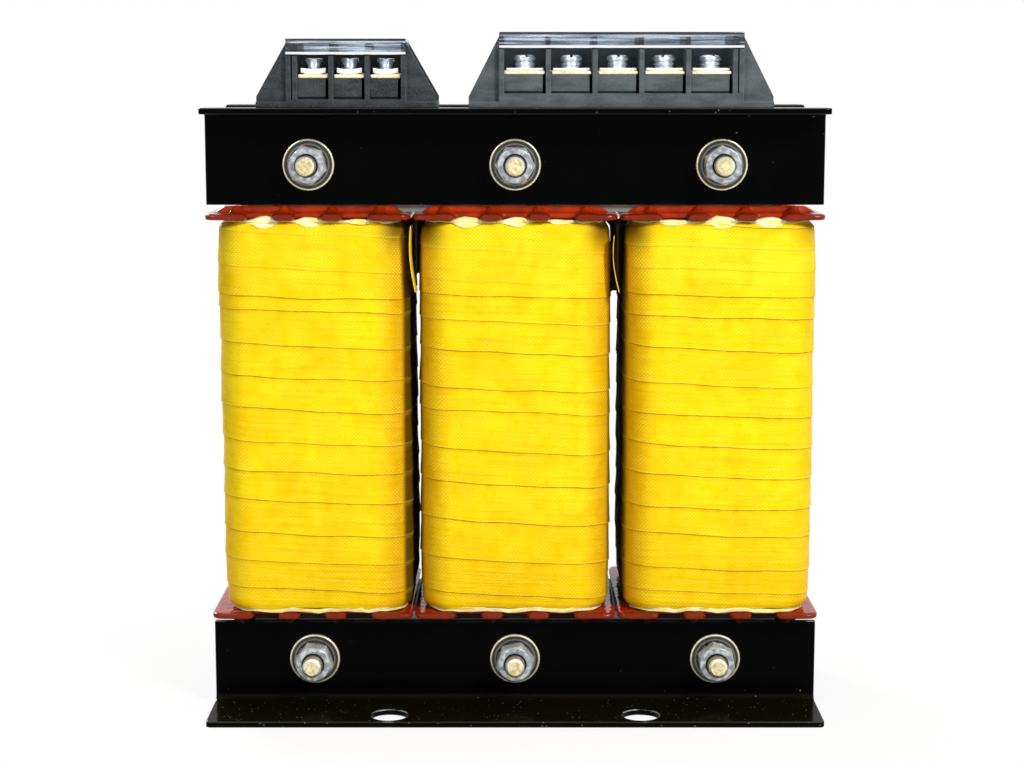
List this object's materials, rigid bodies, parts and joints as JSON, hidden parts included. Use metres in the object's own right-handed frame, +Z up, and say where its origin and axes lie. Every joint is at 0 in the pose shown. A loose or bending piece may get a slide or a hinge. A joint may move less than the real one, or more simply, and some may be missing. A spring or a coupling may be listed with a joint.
{
  "type": "power transformer",
  "caption": "Dry three-phase transformer: taped coils on a laminated core held by folded steel clamps, with barrier terminal blocks on top.",
  "frame": {"origin": "centre of the feet's underside, on the surface it stands on", "axes": "+Z up, +X to the right seen from the front, the front with the nuts faces -Y"},
  "size_m": [0.3, 0.154, 0.3331],
  "materials": {
    "core_steel": "grey varnished sheet edges",
    "clamp_paint": "gloss black paint",
    "bobbin_resin": "glossy red-brown moulded resin",
    "former_board": "pressed insulation board",
    "winding_tape": "varnished yellow woven tape",
    "insulation_paper": "cream insulation paper",
    "bolt_zinc": "yellow zinc plate",
    "fastener_zinc": "bright zinc plate",
    "terminal_moulding": "charcoal moulded plastic",
    "clear_cover": "clear plastic sheet",
    "terminal_brass": "bright plated brass",
    "terminal_zinc": "bright zinc plate"
  },
  "bodies": {
    "root": {"bottom_end_frame_centre": "bobbin_resin", "bottom_end_frame_left": "bobbin_resin", "bottom_end_frame_right": "bobbin_resin", "clamp_bolts_bottom": "bolt_zinc", "clamp_bolts_top": "bolt_zinc", "clamp_bottom_back": "clamp_paint", "clamp_bottom_front": "clamp_paint", "clamp_nuts": "fastener_zinc", "clamp_top_back": "clamp_paint", "clamp_top_front": "clamp_paint", "coil_centre": "winding_tape", "coil_left": "winding_tape", "coil_right": "winding_tape", "core_bottom_yoke": "core_steel", "core_leg_centre": "core_steel", "core_leg_left": "core_steel", "core_leg_right": "core_steel", "core_top_yoke": "core_steel", "end_papers": "insulation_paper", "five_way_base": "terminal_moulding", "five_way_cover": "clear_cover", "five_way_plates": "terminal_brass", "five_way_screws": "terminal_zinc", "five_way_washers": "terminal_zinc", "flat_washers": "fastener_zinc", "spring_washers": "fastener_zinc", "terminal_fixing_screws": "terminal_zinc", "three_way_base": "terminal_moulding", "three_way_cover": "clear_cover", "three_way_plates": "terminal_brass", "three_way_screws": "terminal_zinc", "three_way_washers": "terminal_zinc", "top_end_frame_centre": "bobbin_resin", "top_end_frame_left": "bobbin_resin", "top_end_frame_right": "bobbin_resin", "winding_former_centre": "former_board", "winding_former_left": "former_board", "winding_former_right": "former_board"}
  },
  "joints": []
}
